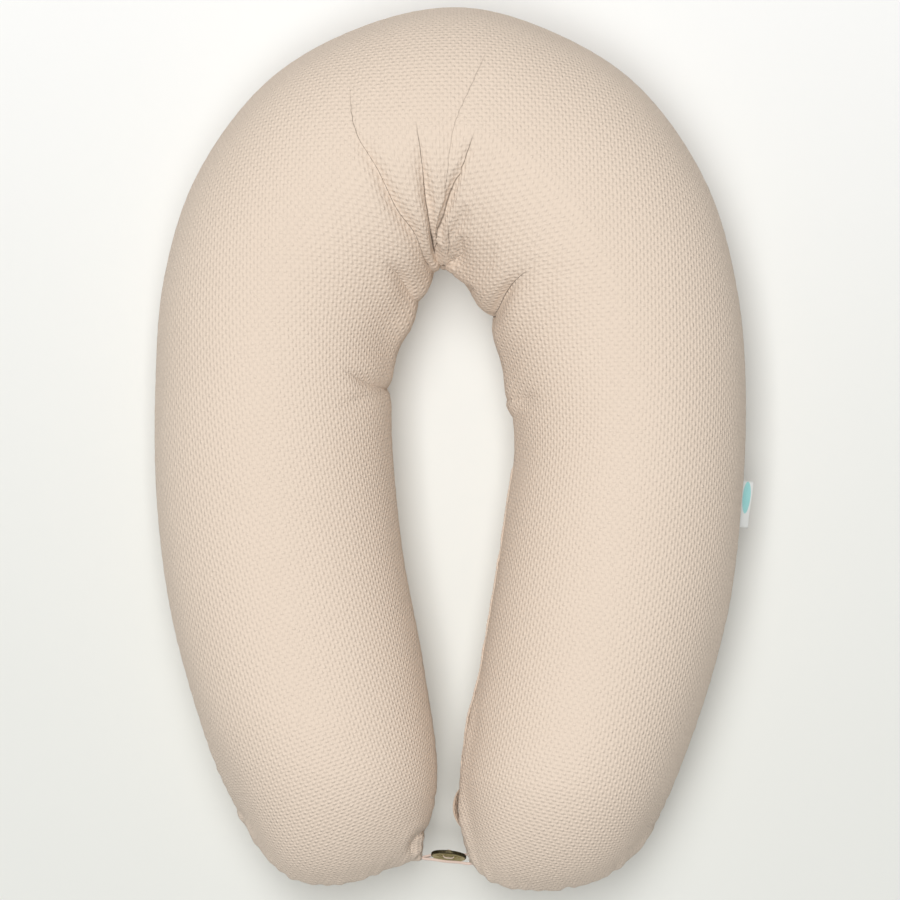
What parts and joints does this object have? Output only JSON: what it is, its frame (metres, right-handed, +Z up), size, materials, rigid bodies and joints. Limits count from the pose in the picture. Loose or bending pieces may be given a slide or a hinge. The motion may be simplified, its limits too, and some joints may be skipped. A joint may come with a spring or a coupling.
{
  "type": "nursing pillow",
  "caption": "U-shaped stuffed nursing pillow in a sewn waffle-knit cover, with a zip in the inner seam and a button and loop joining the leg ends.",
  "frame": {"origin": "on the floor under the middle of the whole pillow, the side label included", "axes": "+Z up from the floor; +Y from the two leg ends towards the closed crown; +X towards the leg that carries the zip and the side label"},
  "size_m": [0.5364, 0.7924, 0.1882],
  "materials": {
    "knit": "matte cream-beige waffle knit",
    "ticking": "plain off-white woven cotton",
    "filling": "white polyester fibre",
    "zip_tape": "woven tape dyed to match the cover",
    "zip_coil": "nylon coil dyed to match the tape",
    "zip_metal": "antique brass plating, worn on the edges",
    "button_metal": "antique brass, dark in the recess",
    "thread": "twisted sewing thread",
    "band": "narrow pinkish-beige fabric band",
    "label": "white woven satin"
  },
  "bodies": {
    "left_half": {"cover_top_left": "knit", "cover_bottom_left": "knit", "casing_left": "ticking", "filling_left": "filling", "button_cord": "band"},
    "right_half": {"cover_top_right": "knit", "cover_bottom_right": "knit", "casing_right": "ticking", "filling_right": "filling", "zip_tape_upper": "zip_tape", "zip_tape_lower": "zip_tape", "zip_teeth_upper": "zip_coil", "zip_teeth_lower": "zip_coil", "zip_closed_stop_upper": "zip_coil", "zip_closed_stop_lower": "zip_coil", "zip_open_stop": "zip_coil", "zip_placket": "knit", "button_loop": "band", "side_label": "label", "care_label": "label"},
    "button": {"button": "button_metal", "button_thread": "thread"},
    "zip_slider": {"zip_slider": "zip_metal"},
    "zip_pull": {"zip_pull": "zip_metal"}
  },
  "joints": [
    {"name": "leg_spread", "type": "hinge", "parent": "left_half", "child": "right_half", "pos_m": [0.0058, 0.39615, 0.086], "axis": [0, 0, 1], "range_deg": [0, 40], "deforming": ["button_loop"]},
    {"name": "button_twist", "type": "hinge", "parent": "left_half", "child": "button", "pos_m": [-0.0054, -0.36705, 0.074], "axis": [-0.0994, -0.9458, 0.309], "range_deg": [-60, 60], "stiffness_Nm_per_rad": 0.0005},
    {"name": "zip_run", "type": "slide", "parent": "right_half", "child": "zip_slider", "axis": [0.1655, 0.9862, 0], "range_m": [0, 0.249]},
    {"name": "pull_flip", "type": "hinge", "parent": "zip_slider", "child": "zip_pull", "pos_m": [0.00909, -0.2745, 0.086], "axis": [0, 0, 1], "range_deg": [0, 170]}
  ]
}
